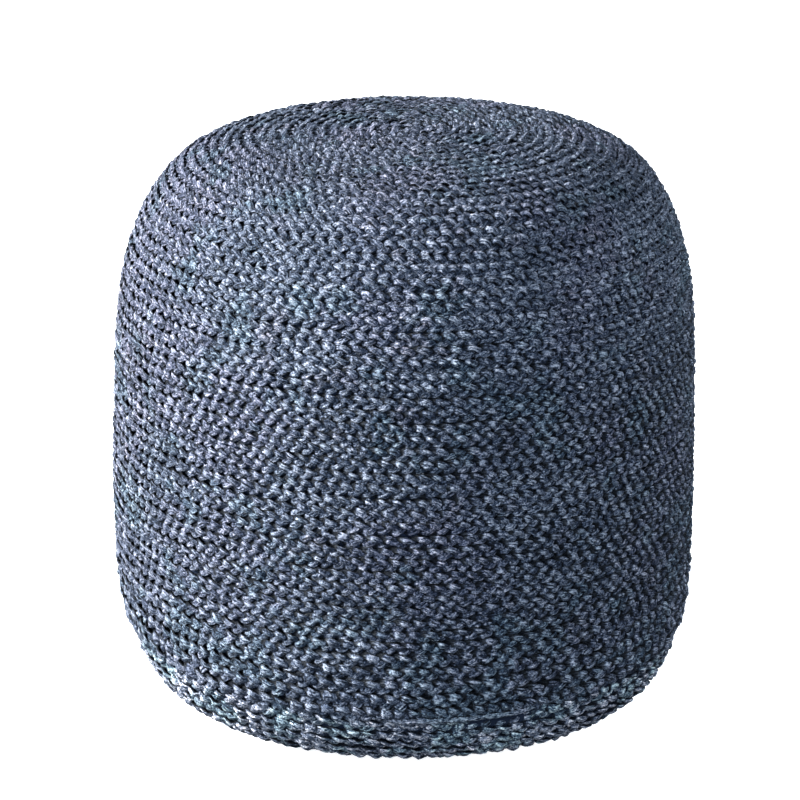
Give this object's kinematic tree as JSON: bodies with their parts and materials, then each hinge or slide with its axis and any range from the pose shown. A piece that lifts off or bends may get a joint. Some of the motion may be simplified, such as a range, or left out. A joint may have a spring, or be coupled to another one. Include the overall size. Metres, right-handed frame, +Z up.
{
  "type": "jute pouf",
  "caption": "Round filled floor pouf of spiral-wound, edge-sewn flat jute braid: soft-shouldered cover over a sewn-in base, for a low seat or footrest.",
  "frame": {"origin": "middle of the underside, on the surface that the pouf stands on", "axes": "+Z up along the pouf's axis, -Y towards the side that the picture shows"},
  "size_m": [0.45, 0.4501, 0.435],
  "materials": {
    "cover_braid": "three-strand jute braid dyed slate blue, slightly shiny fibres",
    "base_braid": "wider three-strand jute braid dyed slate blue with a teal tint"
  },
  "bodies": {
    "root": {"cover": "cover_braid", "base": "base_braid"}
  },
  "joints": []
}
